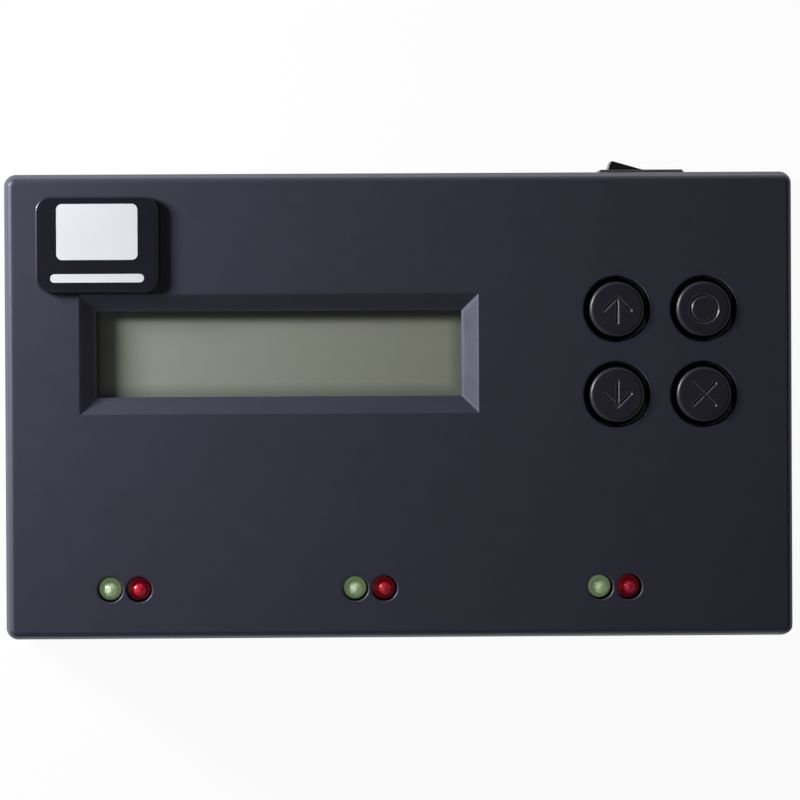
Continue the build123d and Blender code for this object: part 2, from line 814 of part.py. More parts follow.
# Keys: hollow caps pushed onto the switches' square plungers. Each mark is a set of strokes,
# as (x, y, length, angle) from the cap's centre; the ring is turned instead.
cap_top_z = top_z + key_proud
plunger_top_z = panel_board_top + tact_total_height
tact_cover_top = tact_body_top + tact_cover_sheet
cap_bottom_z = tact_cover_top + key_travel + key_bottom_clearance
arrow_tip = 2.1
arrow_tail = 2.35
barb_reach = 2.3
cross_reach = 1.9
ring_radius = 2.35
shaft_length = arrow_tip + arrow_tail + mark_width
barb_length = barb_reach * math.sqrt(2) + mark_width
cross_length = 2 * cross_reach * math.sqrt(2) + mark_width
key_marks = {
    "up": [
        (0, (arrow_tip - arrow_tail) / 2, shaft_length, 90),
        (-barb_reach / 2, arrow_tip - barb_reach / 2, barb_length, 45),
        (barb_reach / 2, arrow_tip - barb_reach / 2, barb_length, -45),
    ],
    "down": [
        (0, (arrow_tail - arrow_tip) / 2, shaft_length, 90),
        (-barb_reach / 2, barb_reach / 2 - arrow_tip, barb_length, -45),
        (barb_reach / 2, barb_reach / 2 - arrow_tip, barb_length, 45),
    ],
    "cross": [(0, 0, cross_length, 45), (0, 0, cross_length, -45)],
    "ring": [],
}
mark_floor = mark_width - 2 * mark_depth * math.tan(math.radians(mark_slope))
collar_bottom_z = tact_body_top - fit_gap - tact_plunger_collar
nub_bottom_z = tact_floor_z + key_travel + tact_dome_room
for title, (x, y) in key_places.items():
    with BuildPart() as key_cap:
        with BuildSketch(level(cap_bottom_z)):
            with Locations((x, y)):
                Circle(key_flange_diameter / 2)
        extrude(amount=key_flange_height)
        with BuildSketch(level(cap_bottom_z)):
            with Locations((x, y)):
                Circle(key_diameter / 2)
        extrude(amount=cap_top_z - cap_bottom_z)
        fillet(key_cap.edges().group_by(Axis.Z)[-1], radius=key_edge_radius)
        with BuildSketch(level(cap_bottom_z)):
            with Locations((x, y)):
                Circle(key_diameter / 2 - key_wall)
        extrude(amount=cap_top_z - cap_bottom_z - key_wall, mode=Mode.SUBTRACT)
        with BuildSketch(level(cap_bottom_z)):
            with Locations((x, y)):
                Circle(key_socket_diameter / 2)
        extrude(amount=cap_top_z - cap_bottom_z - key_wall)
        with BuildSketch(level(cap_bottom_z)):
            with Locations((x, y)):
                Rectangle(tact_square, tact_square)
        extrude(amount=plunger_top_z - cap_bottom_z, mode=Mode.SUBTRACT)
        with BuildSketch(level(cap_bottom_z)):
            with Locations((x, y)):
                Circle(tact_plunger_diameter / 2 + fit_gap / 2)
        extrude(amount=tact_shoulder, mode=Mode.SUBTRACT)
        for stroke_x, stroke_y, length, angle in key_marks[title]:
            with BuildSketch(level(cap_top_z)):
                with Locations((x + stroke_x, y + stroke_y)):
                    SlotOverall(length, mark_width, rotation=angle)
            extrude(amount=-mark_depth, taper=mark_slope, mode=Mode.SUBTRACT)
        if title == "ring":
            with BuildSketch(Plane(origin=(x, centre_y + y, cap_top_z), x_dir=(1, 0, 0), z_dir=(0, -1, 0))):
                with BuildLine():
                    Polyline(
                        (ring_radius - mark_width / 2, 0),
                        (ring_radius - mark_floor / 2, -mark_depth),
                        (ring_radius + mark_floor / 2, -mark_depth),
                        (ring_radius + mark_width / 2, 0),
                        close=True,
                    )
                make_face()
            revolve(axis=Axis((x, centre_y + y, 0), (0, 0, 1)), mode=Mode.SUBTRACT)
    save(key_cap.part, f"key_cap_{title}")

    with BuildPart() as key_plunger:
        with BuildSketch(level(tact_body_top - fit_gap)):
            with Locations((x, y)):
                Circle(tact_cavity_diameter / 2 - 2 * fit_gap)
        extrude(amount=-tact_plunger_collar)
        with BuildSketch(level(collar_bottom_z)):
            with Locations((x, y)):
                Circle(tact_nub_diameter / 2)
        extrude(amount=nub_bottom_z - collar_bottom_z)
        with BuildSketch(level(tact_body_top - fit_gap)):
            with Locations((x, y)):
                Circle(tact_plunger_diameter / 2)
        extrude(amount=cap_bottom_z + tact_shoulder - (tact_body_top - fit_gap))
        with BuildSketch(level(tact_body_top)):
            with Locations((x, y)):
                Rectangle(tact_square, tact_square)
        extrude(amount=plunger_top_z - tact_body_top)
    save(key_plunger.part, f"key_plunger_{title}")

# Lamps on spacers, with their leads through the panel board
lamp_top_z = top_z - lamp_recess
lamp_base_z = lamp_top_z - lamp_height
for title, (x, y) in lamp_places.items():
    with BuildPart() as lamp:
        with BuildSketch(Plane(origin=(x, centre_y + y, lamp_base_z), x_dir=(1, 0, 0), z_dir=(0, -1, 0))):
            with BuildLine():
                Polyline(
                    (0, lamp_height),
                    (0, 0),
                    (lamp_flange_diameter / 2, 0),
                    (lamp_flange_diameter / 2, lamp_flange_height),
                    (lamp_diameter / 2, lamp_flange_height),
                    (lamp_diameter / 2, lamp_height - lamp_diameter / 2),
                )
                RadiusArc(
                    (lamp_diameter / 2, lamp_height - lamp_diameter / 2),
                    (0, lamp_height),
                    -lamp_diameter / 2,
                )
            make_face()
        revolve(axis=Axis((x, centre_y + y, 0), (0, 0, 1)))
    save(lamp.part, f"lamp_{title}")

with BuildPart() as lamp_spacers:
    with BuildSketch(level(panel_board_top)):
        with Locations(*lamp_places.values()):
            Circle(lamp_spacer_diameter / 2)
        with Locations(*lead_places):
            Circle(lamp_spacer_bore / 2, mode=Mode.SUBTRACT)
    extrude(amount=lamp_base_z - panel_board_top)
save(lamp_spacers.part, "lamp_spacers")

with BuildPart() as lamp_leads:
    with BuildSketch(level(panel_board_z - lamp_lead_reach)):
        with Locations(*lead_places):
            Rectangle(lamp_lead_side, lamp_lead_side)
    extrude(amount=lamp_base_z - panel_board_z + lamp_lead_reach)
save(lamp_leads.part, "lamp_leads")

# Main board, cut back round the screw posts
with BuildPart() as main_board:
    with BuildSketch(level(main_board_z)):
        RectangleRounded(2 * board_edge_x, cavity_depth - 2 * socket_setback, board_wall_gap)
        with Locations(*post_places):
            Circle(post_notch, mode=Mode.SUBTRACT)
        for x, y in post_places:
            with Locations((x + math.copysign(post_notch, x), y + math.copysign(post_notch, y))):
                if y > 0:
                    Rectangle(2 * post_notch, 4 * post_notch, mode=Mode.SUBTRACT)
            with Locations((x, y + math.copysign(post_notch, y))):
                Rectangle(2 * post_notch, 2 * post_notch, mode=Mode.SUBTRACT)
        with Locations(*main_screw_places):
            Circle(board_screw_diameter / 2 + fit_gap, mode=Mode.SUBTRACT)
    extrude(amount=board_thickness)
save(main_board.part, "main_board")

# Board-to-board link: a socket on the main board, a pin strip under the panel board
link_length = link_pin_columns * pin_pitch
link_hole_z = main_board_top + link_socket_floor
with BuildPart() as link_socket:
    with BuildSketch(level(main_board_top)):
        with Locations((link_x, link_y)):
            Rectangle(link_length, link_strip_width)
    extrude(amount=panel_board_z - link_strip_height - main_board_top)
    with BuildSketch(level(panel_board_z - link_strip_height)):
        with Locations(*link_places):
            Rectangle(pin_side + fit_gap, pin_side + fit_gap)
    extrude(amount=link_hole_z - (panel_board_z - link_strip_height), mode=Mode.SUBTRACT)
save(link_socket.part, "link_socket")

with BuildPart() as link_pins:
    with BuildSketch(level(panel_board_z)):
        with Locations((link_x, link_y)):
            Rectangle(link_length, link_strip_width)
    extrude(amount=-link_strip_height)
    with BuildSketch(level(panel_board_top)):
        with Locations(*link_places):
            Rectangle(pin_side, pin_side)
    extrude(amount=link_hole_z + link_pin_end_gap - panel_board_top)
save(link_pins.part, "link_pins")

# Chips, coil, crystal and capacitors on the main board
with BuildPart() as controller_chip:
    with BuildSketch(level(main_board_top)):
        with Locations((0, controller_y)):
            Rectangle(controller_side, controller_side)
    extrude(amount=controller_height)
    chamfer(controller_chip.edges().group_by(Axis.Z)[-1], length=part_edge)
save(controller_chip.part, "controller_chip")

with BuildPart() as memory_chips:
    with BuildSketch(level(main_board_top)):
        with Locations(*[(memory_x, y) for y in memory_rows_y]):
            Rectangle(memory_width, memory_depth)
    extrude(amount=memory_height)
    chamfer(memory_chips.edges().group_by(Axis.Z)[-1], length=part_edge)
save(memory_chips.part, "memory_chips")

with BuildPart() as power_inductor:
    with BuildSketch(level(main_board_top)):
        with Locations((jack_x + inductor_jack_offset, inductor_y)):
            RectangleRounded(inductor_side, inductor_side, inductor_corner)
    extrude(amount=inductor_height)
    chamfer(power_inductor.edges().group_by(Axis.Z)[-1], length=part_edge)
save(power_inductor.part, "power_inductor")

with BuildPart() as clock_crystal:
    with BuildSketch(level(main_board_top)):
        with Locations(crystal_place):
            SlotOverall(crystal_length, crystal_width)
    extrude(amount=crystal_height)
    fillet(clock_crystal.edges().group_by(Axis.Z)[-1], radius=part_edge)
save(clock_crystal.part, "clock_crystal")

with BuildPart() as capacitors:
    with BuildSketch(level(main_board_top)):
        with Locations(*[(jack_x + offset_x, y) for offset_x, y in capacitor_jack_offsets]):
            Circle(capacitor_diameter / 2)
    extrude(amount=capacitor_height)
    fillet(capacitors.edges().group_by(Axis.Z)[-1], radius=capacitor_edge)
save(capacitors.part, "capacitors")

# Card sockets: a moulded base with side rails, nine contact springs and a folded metal cover
channel_z = main_board_top + socket_floor
cover_z = channel_z + socket_channel_height
socket_middle_y = (socket_front_y + socket_rear_y) / 2
contact_slot_middle_y = socket_rear_y - contact_slot_length / 2
contact_columns = [(n - (contact_count - 1) / 2) * contact_pitch for n in range(contact_count)]
contact_front_y = socket_rear_y - contact_slot_length
contact_bump_y = contact_front_y + contact_bump_setback
for title, x in zip(("source", "target_1", "target_2"), slot_places_x):
    with BuildPart() as socket_base:
        with BuildSketch(level(main_board_top)):
            with Locations((x, socket_middle_y)):
                Rectangle(socket_width, socket_depth)
        extrude(amount=socket_floor + socket_channel_height)
        with BuildSketch(level(channel_z)):
            with Locations((x, socket_middle_y - socket_rear_wall / 2)):
                Rectangle(socket_channel_width, socket_depth - socket_rear_wall)
        extrude(amount=socket_channel_height, mode=Mode.SUBTRACT)
        with BuildSketch(level(main_board_top)):
            with Locations(*[(x + column, contact_slot_middle_y) for column in contact_columns]):
                Rectangle(contact_slot_width, contact_slot_length)
        extrude(amount=socket_floor, mode=Mode.SUBTRACT)
    save(socket_base.part, f"socket_base_{title}")

    with BuildPart() as socket_cover:
        with BuildSketch(level(main_board_top)):
            with Locations((x, socket_front_y + socket_cover_depth / 2)):
                Rectangle(socket_outer_width, socket_cover_depth)
        extrude(amount=cover_z + socket_cover_sheet - main_board_top)
        with BuildSketch(level(main_board_top)):
            with Locations((x, socket_front_y + socket_cover_depth / 2)):
                Rectangle(socket_width, socket_cover_depth)
        extrude(amount=cover_z - main_board_top, mode=Mode.SUBTRACT)
    save(socket_cover.part, f"socket_cover_{title}")

with BuildPart() as socket_contacts:
    for x in slot_places_x:
        for column in contact_columns:
            with BuildSketch(side(x + column)):
                with BuildLine():
                    Polyline(
                        (socket_rear_y + contact_tail, main_board_top + contact_sheet / 2),
                        (socket_rear_y - contact_foot, main_board_top + contact_sheet / 2),
                        (contact_bump_y + contact_bump_length, channel_z + contact_bump_height),
                        (contact_bump_y, channel_z + contact_bump_height),
                        (contact_front_y + contact_tip_setback, channel_z),
                    )
                trace(line_width=contact_sheet)
            extrude(amount=contact_width / 2, both=True)
save(socket_contacts.part, "socket_contacts")

# Power inlet: a moulded body whose nose fills the hole in the rear wall, a centre pin and a leaf
jack_front_y = cavity_depth / 2
jack_rear_y = jack_front_y - jack_body_depth
nose_y = case_depth / 2 - jack_nose_recess
with BuildPart() as jack_body:
    with BuildSketch(level(main_board_top)):
        with Locations((jack_x, jack_front_y - jack_body_depth / 2)):
            Rectangle(jack_width, jack_body_depth)
    extrude(amount=jack_height)
    with BuildSketch(upright(nose_y)):
        with Locations((jack_x, jack_z)):
            Circle(jack_nose_diameter / 2)
    extrude(amount=nose_y - jack_front_y)
    with BuildSketch(upright(nose_y)):
        with Locations((jack_x, jack_z)):
            Circle(jack_bore_diameter / 2)
    extrude(amount=jack_bore_depth, mode=Mode.SUBTRACT)
    # Seat for the centre pin's root, and a pocket for the leaf that grips the plug from below
    with BuildSketch(upright(nose_y - jack_bore_depth)):
        with Locations((jack_x, jack_z)):
            Circle(jack_pin_root_diameter / 2)
    extrude(amount=nose_y - jack_bore_depth - jack_rear_y, mode=Mode.SUBTRACT)
    with BuildSketch(level(main_board_top)):
        with Locations((jack_x, jack_front_y - jack_bore_depth / 2)):
            Rectangle(jack_leaf_width + 2 * fit_gap, jack_bore_depth - wall)
    extrude(amount=jack_z - main_board_top - jack_bore_diameter / 2 + 2 * fit_gap, mode=Mode.SUBTRACT)
save(jack_body.part, "jack_body")

jack_pin_length = jack_bore_depth - jack_pin_setback - jack_pin_root_bare
with BuildPart() as jack_pin:
    with BuildSketch(upright(nose_y - jack_pin_setback)):
        with Locations((jack_x, jack_z)):
            Circle(jack_pin_diameter / 2)
    extrude(amount=jack_pin_length)
    with BuildSketch(upright(nose_y - jack_pin_setback - jack_pin_length)):
        with Locations((jack_x, jack_z)):
            Circle(jack_pin_root_diameter / 2)
    extrude(amount=nose_y - jack_pin_setback - jack_pin_length - jack_rear_y)
save(jack_pin.part, "jack_pin")

jack_bore_bottom_z = jack_z - jack_bore_diameter / 2
jack_leaf_y = jack_front_y - jack_bore_depth / 2
with BuildPart() as jack_leaf:
    with BuildSketch(side(jack_x)):
        with BuildLine():
            Polyline(
                (jack_leaf_y + jack_leaf_foot, main_board_top + jack_leaf_sheet / 2),
                (jack_leaf_y - jack_leaf_heel, main_board_top + jack_leaf_sheet / 2),
                (jack_leaf_y - jack_leaf_heel + jack_leaf_rise, jack_bore_bottom_z - jack_leaf_sheet),
                (
                    jack_leaf_y - jack_leaf_heel + jack_leaf_rise + jack_leaf_reach,
                    jack_bore_bottom_z - 2 * jack_leaf_sheet,
                ),
            )
        trace(line_width=jack_leaf_sheet)
    extrude(amount=jack_leaf_width / 2, both=True)
save(jack_leaf.part, "jack_leaf")

# Rocker switch. Its sketches use a plane through the pivot, turned with the rocker.
pivot_y = case_depth / 2 - rocker_pivot_depth
tilt = math.radians(rocker_tilt)
rocker_height = switch_body_height - 2 * switch_body_wall - 2 * rocker_side_gap
opening_length = 2 * (rocker_radius + rocker_gap)
opening_height = switch_body_height - 2 * switch_body_wall
cavity_back_y = case_depth / 2 - switch_body_depth + switch_body_floor
dish_drop = rocker_half_length * math.tan(math.radians(rocker_dish_angle))
with BuildPart() as switch_housing:
    with BuildSketch(upright(case_depth / 2 + switch_flange_depth)):
        with Locations((switch_x, switch_z)):
            RectangleRounded(switch_flange_length, switch_flange_height, switch_flange_bevel)
    extrude(amount=switch_flange_depth)
    chamfer(switch_housing.edges().group_by(Axis.Y)[-1], length=switch_flange_bevel)
    with BuildSketch(upright(case_depth / 2)):
        with Locations((switch_x, switch_z)):
            Rectangle(switch_body_length, switch_body_height)
    extrude(amount=switch_body_depth)
    # Wedges that snap behind the wall
    with BuildSketch(Plane(origin=(switch_x, centre_y + cavity_depth / 2, switch_z))):
        for s in (-1, 1):
            with BuildLine():
                Polyline(
                    (s * (switch_body_length / 2 - fit_gap), -fit_gap),
                    (s * (switch_body_length / 2 + fit_gap + switch_snap), -fit_gap),
                    (s * (switch_body_length / 2 - fit_gap), -switch_snap_length),
                    close=True,
                )
            make_face()
    extrude(amount=terminal_width / 2, both=True)
    with BuildSketch(upright(case_depth / 2 + switch_flange_depth)):
        with Locations((switch_x, switch_z)):
            Rectangle(opening_length, opening_height)
    extrude(amount=case_depth / 2 + switch_flange_depth - cavity_back_y, mode=Mode.SUBTRACT)
    # Pivot holes in the long walls, and slots in the back for the terminals
    with BuildSketch(Plane(origin=(switch_x, centre_y + pivot_y, switch_z))):
        Circle(rocker_pin_diameter / 2 + fit_gap / 2)
    extrude(amount=switch_body_height / 2, both=True, mode=Mode.SUBTRACT)
    with BuildSketch(upright(cavity_back_y)):
        with Locations((switch_x, switch_z), (switch_x - terminal_offset, switch_z)):
            Rectangle(terminal_sheet, terminal_width)
    extrude(amount=switch_body_floor, mode=Mode.SUBTRACT)
save(switch_housing.part, "switch_housing")

rocker_frame = Plane(
    origin=(switch_x, centre_y + pivot_y, switch_z),
    x_dir=(math.cos(tilt), -math.sin(tilt), 0),
    z_dir=(0, 0, 1),
)
stem_tip = rocker_underside + rocker_stem_length
with BuildPart() as switch_rocker:
    with BuildSketch(rocker_frame):
        Circle(rocker_radius)
        with BuildLine():
            Polyline(
                (-rocker_radius, rocker_end_height + dish_drop * (rocker_radius / rocker_half_length - 1)),
                (0, rocker_end_height - dish_drop),
                (rocker_radius, rocker_end_height + dish_drop * (rocker_radius / rocker_half_length - 1)),
                (rocker_radius, -rocker_underside),
                (-rocker_radius, -rocker_underside),
                close=True,
            )
        make_face(mode=Mode.INTERSECT)
    extrude(amount=rocker_height / 2, both=True)
    fillet(switch_rocker.edges().filter_by(Axis.Z).group_by(Axis.Y)[-1], radius=rocker_edge_radius)
    with BuildSketch(rocker_frame):
        with Locations((0, -rocker_underside - rocker_stem_length / 2 + rocker_stem_width / 4)):
            Rectangle(rocker_stem_width, rocker_stem_length - rocker_stem_width / 2)
        with Locations((0, -stem_tip + rocker_stem_width / 2)):
            Circle(rocker_stem_width / 2)
    extrude(amount=rocker_stem_width / 2, both=True)
    with BuildSketch(rocker_frame):
        Circle(rocker_pin_diameter / 2)
    extrude(amount=rocker_height / 2 + rocker_side_gap + rocker_pin_bite, both=True)
    # On and off marks sunk into the two faces: a ring on the raised end, a bar on the other
    for way in (-1, 1):
        slope = math.radians(way * rocker_dish_angle - rocker_tilt)
        mark_plane = Plane(
            origin=rocker_frame.from_local_coords(
                (
                    way * rocker_half_length * rocker_mark_place,
                    rocker_end_height - dish_drop * (1 - rocker_mark_place),
                    0,
                )
            ),
            x_dir=(0, 0, 1),
            z_dir=(-math.sin(slope), math.cos(slope), 0),
        )
        with BuildSketch(mark_plane):
            if way < 0:
                Circle(rocker_mark_size / 2)
                Circle(rocker_mark_size / 2 - rocker_mark_line, mode=Mode.SUBTRACT)
            else:
                Rectangle(rocker_mark_size, rocker_mark_line)
        extrude(amount=-rocker_mark_depth, mode=Mode.SUBTRACT)
save(switch_rocker.part, "switch_rocker")

# The see-saw contact under the rocker's stem, tilted the other way, and the blades that carry it
seesaw_pivot_y = pivot_y - stem_tip - seesaw_gap - seesaw_thickness
lean = math.radians(seesaw_tilt)
seesaw_frame = Plane(
    origin=(switch_x, centre_y + seesaw_pivot_y, switch_z),
    x_dir=(math.cos(lean), math.sin(lean), 0),
    z_dir=(0, 0, 1),
)
with BuildPart() as switch_seesaw:
    with BuildSketch(seesaw_frame):
        with Locations((0, seesaw_thickness / 2)):
            Rectangle(seesaw_length, seesaw_thickness)
    extrude(amount=seesaw_width / 2, both=True)
save(switch_seesaw.part, "switch_seesaw")

terminal_end_y = case_depth / 2 - switch_body_depth - terminal_reach
fulcrum_y = seesaw_pivot_y - fit_gap
side_contact_y = seesaw_pivot_y - terminal_offset * math.tan(lean) - seesaw_gap
with BuildPart() as switch_terminals:
    for offset_x, tip_y in ((0, fulcrum_y), (-terminal_offset, side_contact_y)):
        with BuildSketch(Plane(origin=(switch_x + offset_x, centre_y, switch_z))):
            with Locations((0, (tip_y + terminal_end_y) / 2)):
                Rectangle(terminal_sheet, tip_y - terminal_end_y)
        extrude(amount=terminal_width / 2, both=True)
    upright_edges = switch_terminals.edges().filter_by(Axis.Z)
    tip_edges = upright_edges.filter_by(lambda edge: edge.center().Y > centre_y + cavity_back_y)
    fillet(tip_edges, radius=terminal_tip_radius)
save(switch_terminals.part, "switch_terminals")

# Two wires from the terminals down to a plug on the main board
wire_plug_z = main_board_top + wire_plug_height / 2
wire_plug_y = terminal_end_y - wire_run
wire_places_x = [switch_x, switch_x - terminal_offset]
wire_plug_x = sum(wire_places_x) / 2
with BuildPart() as switch_wires:
    for x in wire_places_x:
        with BuildLine() as route:
            FilletPolyline(
                (x, centre_y + terminal_end_y, switch_z),
                (x, centre_y + terminal_end_y - wire_straight_at_terminal, switch_z),
                (x, centre_y + wire_plug_y + wire_straight_at_plug, wire_plug_z),
                (x, centre_y + wire_plug_y - wire_plug_depth / 2, wire_plug_z),
                radius=wire_bend_radius,
            )
        with BuildSketch(Plane(origin=(x, centre_y + terminal_end_y, switch_z), z_dir=(0, -1, 0))):
            Circle(wire_diameter / 2)
        sweep(path=route.wires()[0])
save(switch_wires.part, "switch_wires")

with BuildPart() as wire_plug:
    with BuildSketch(level(main_board_top)):
        with Locations((wire_plug_x, wire_plug_y - wire_plug_depth / 2)):
            Rectangle(wire_plug_width, wire_plug_depth)
    extrude(amount=wire_plug_height)
    with BuildSketch(upright(wire_plug_y)):
        with Locations(*[(x, wire_plug_z) for x in wire_places_x]):
            Circle(wire_diameter / 2)
    extrude(amount=wire_plug_depth / 2, mode=Mode.SUBTRACT)
save(wire_plug.part, "wire_plug")

print("rocker stands", round(rocker_proud, 3), "behind the rear wall; pivot", [
    round(v, 4) for v in (switch_x, centre_y + pivot_y, switch_z)
])
print("see-saw pivot", [round(v, 4) for v in (switch_x, centre_y + seesaw_pivot_y, switch_z)])
print("inlet pin", [round(v, 4) for v in (jack_x, centre_y + nose_y - jack_pin_setback, jack_z)])
print("free length of the inlet pin", jack_pin_length, "height of the card slots", round(slot_z, 4))
print("card slots at", [round(x, 4) for x in slot_places_x], "window and keys at", [
    round(v, 4) for v in (window_x, centre_y + window_y, keys_x, centre_y + keys_y)
])
print("centre_y", round(centre_y, 4), "front", round(front_y, 4), "rear", round(rear_y, 4))
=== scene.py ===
import json
import math

import bmesh
import bpy
from mathutils import Matrix, Vector


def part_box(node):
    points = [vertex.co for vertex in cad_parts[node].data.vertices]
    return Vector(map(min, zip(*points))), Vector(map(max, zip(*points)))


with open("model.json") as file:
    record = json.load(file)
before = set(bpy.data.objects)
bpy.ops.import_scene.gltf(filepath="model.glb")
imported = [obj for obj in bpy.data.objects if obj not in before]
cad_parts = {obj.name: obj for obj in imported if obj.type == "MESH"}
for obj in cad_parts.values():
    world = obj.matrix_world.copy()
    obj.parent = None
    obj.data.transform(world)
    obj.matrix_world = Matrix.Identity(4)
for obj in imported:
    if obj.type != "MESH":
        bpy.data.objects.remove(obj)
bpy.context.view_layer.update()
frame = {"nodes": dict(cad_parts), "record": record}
nodes = frame["nodes"]

# Sizes in metres. The case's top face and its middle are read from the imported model.
MM = 0.001
case_low, case_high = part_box("upper_shell")
top_z = case_high.z
centre = (case_low + case_high) / 2

# Display window in the top face
window_x = -21.2055 * MM
window_y = 8.2531 * MM
window_half_width = 32.0 * MM
window_half_height = 7.5 * MM

# Colour sockets of a Mix node, by number because its other modes have sockets of the same names
MIX_FACTOR = 0
MIX_FIRST = 6
MIX_SECOND = 7
MIX_RESULT = 2


# Nodes. Every pattern reads Object coordinates, in metres.
def principled(material):
    """The shader of a material."""
    return material.node_tree.nodes["Principled BSDF"]


def finish(name, colour, roughness, metallic=0.0):
    """A new material and its shader, with the plain values set on the shader itself."""
    material = bpy.data.materials.new(name)
    material.use_nodes = True
    shader = principled(material)
    shader.inputs["Base Color"].default_value = (*colour, 1.0)
    shader.inputs["Roughness"].default_value = roughness
    shader.inputs["Metallic"].default_value = metallic
    return material, shader


def clear_coat(shader, weight, roughness):
    """A clear skin over the shader's own surface."""
    shader.inputs["Coat Weight"].default_value = weight
    shader.inputs["Coat Roughness"].default_value = roughness


def feed(material, socket, value):
    """Sets a socket to a number or a colour, or links another node's output to it."""
    if isinstance(value, float):
        socket.default_value = value
    elif isinstance(value, tuple):
        socket.default_value = (*value, 1.0)
    else:
        material.node_tree.links.new(value, socket)


def arithmetic(material, operation, first, second):
    """A Math node's result for two values, each a number or a node's output."""
    node = material.node_tree.nodes.new("ShaderNodeMath")
    node.operation = operation
    feed(material, node.inputs[0], first)
    feed(material, node.inputs[1], second)
    return node.outputs["Value"]


def tint(material, share, first, second, blend="MIX"):
    """A mix of two colours by a share. Each of the three may be a node's output."""
    mix = material.node_tree.nodes.new("ShaderNodeMix")
    mix.data_type = "RGBA"
    mix.blend_type = blend
    feed(material, mix.inputs[MIX_FACTOR], share)
    feed(material, mix.inputs[MIX_FIRST], first)
    feed(material, mix.inputs[MIX_SECOND], second)
    return mix.outputs[MIX_RESULT]


def scaled(colour, share):
    """A colour with each of its three values times that share."""
    return tuple(value * share for value in colour)


def grain(material, size, detail=2.0, stretch=(1.0, 1.0, 1.0)):
    """Noise with spots about that many metres across."""
    tree = material.node_tree
    place = tree.nodes.new("ShaderNodeTexCoord")
    mapping = tree.nodes.new("ShaderNodeMapping")
    mapping.inputs["Scale"].default_value = stretch
    noise = tree.nodes.new("ShaderNodeTexNoise")
    noise.inputs["Scale"].default_value = 1.0 / size
    noise.inputs["Detail"].default_value = detail
    tree.links.new(place.outputs["Object"], mapping.inputs["Vector"])
    tree.links.new(mapping.outputs["Vector"], noise.inputs["Vector"])
    return noise.outputs["Fac"]


def spread(material, value, low, high, from_low=0.3, from_high=0.7):
    """Maps from_low to from_high, by default the middle range of a noise, onto low to high."""
    tree = material.node_tree
    ramp = tree.nodes.new("ShaderNodeMapRange")
    ramp.inputs["From Min"].default_value = from_low
    ramp.inputs["From Max"].default_value = from_high
    ramp.inputs["To Min"].default_value = low
    ramp.inputs["To Max"].default_value = high
    tree.links.new(value, ramp.inputs["Value"])
    return ramp.outputs["Result"]


def relief(material, height, depth):
    """Bumps of that depth in metres."""
    tree = material.node_tree
    bump = tree.nodes.new("ShaderNodeBump")
    bump.inputs["Strength"].default_value = 1.0
    bump.inputs["Distance"].default_value = depth
    tree.links.new(height, bump.inputs["Height"])
    tree.links.new(bump.outputs["Normal"], principled(material).inputs["Normal"])


def edge_wear_and_highlight_mask(material, radius):
    """1 on sharp edges and 0 on flats: how far a rounded normal turns from the plain one."""
    edge_cosine = 0.86
    flat_cosine = 0.995
    tree = material.node_tree
    rounded = tree.nodes.new("ShaderNodeBevel")
    rounded.samples = 4
    rounded.inputs["Radius"].default_value = radius
    plain = tree.nodes.new("ShaderNodeNewGeometry")
    dot = tree.nodes.new("ShaderNodeVectorMath")
    dot.operation = "DOT_PRODUCT"
    tree.links.new(rounded.outputs["Normal"], dot.inputs[0])
    tree.links.new(plain.outputs["Normal"], dot.inputs[1])
    return spread(material, dot.outputs["Value"], 1.0, 0.0, edge_cosine, flat_cosine)


# Kinds of material
def moulded(name, colour, roughness, grain_mm, depth_mm, mottle=0.12, edge_wear_and_highlight=0.0, edge_mm=0.35):
    """Moulded plastic: fine grain, small changes of tone and gloss, and polished edges painted
    lighter, part wear and part painted highlight.

    The grain's size and depth and the radius of the edge band are in millimetres. mottle and
    edge_wear_and_highlight say by what share of the colour its patches differ and its edges are
    painted lighter."""
    tone_patch = 9.0 * MM
    gloss_patch = 2.5 * MM
    gloss_change = 0.04
    polished_share = 0.55
    material, shader = finish(name, colour, roughness)
    links = material.node_tree.links
    patches = spread(material, grain(material, tone_patch, detail=3.0), 0.0, 1.0)
    shade = tint(material, patches, scaled(colour, 1 - mottle), scaled(colour, 1 + mottle))
    gloss = spread(
        material,
        grain(material, gloss_patch, detail=3.0),
        roughness * (1 - gloss_change),
        roughness * (1 + gloss_change),
    )
    if edge_wear_and_highlight:
        edge = edge_wear_and_highlight_mask(material, edge_mm * MM)
        # Edges painted lighter: part wear, part painted highlight.
        shade = tint(material, edge, shade, scaled(colour, 1 + edge_wear_and_highlight))
        polished = material.node_tree.nodes.new("ShaderNodeMix")
        links.new(edge, polished.inputs["Factor"])
        links.new(gloss, polished.inputs["A"])
        polished.inputs["B"].default_value = roughness * polished_share
        gloss = polished.outputs["Result"]
    links.new(shade, shader.inputs["Base Color"])
    links.new(gloss, shader.inputs["Roughness"])
    relief(material, grain(material, grain_mm * MM), depth_mm * MM)
    return material


def plated(name, colour, roughness, streak=(1.0, 1.0, 1.0)):
    """Bare or plated metal: faint drawing lines and uneven gloss."""
    line_size = 0.35 * MM
    line_depth = 0.004 * MM
    cloud_size = 2.5 * MM
    cloud_tone = 0.86
    smoothest = 0.75
    roughest = 1.3
    material, shader = finish(name, colour, roughness, metallic=1.0)
    links = material.node_tree.links
    lines = grain(material, line_size, detail=4.0, stretch=streak)
    clouds = spread(material, grain(material, cloud_size), 0.0, 1.0)
    shade = tint(material, clouds, scaled(colour, cloud_tone), colour)
    gloss = spread(material, lines, roughness * smoothest, roughness * roughest)
    links.new(shade, shader.inputs["Base Color"])
    links.new(gloss, shader.inputs["Roughness"])
    relief(material, lines, line_depth)
    return material


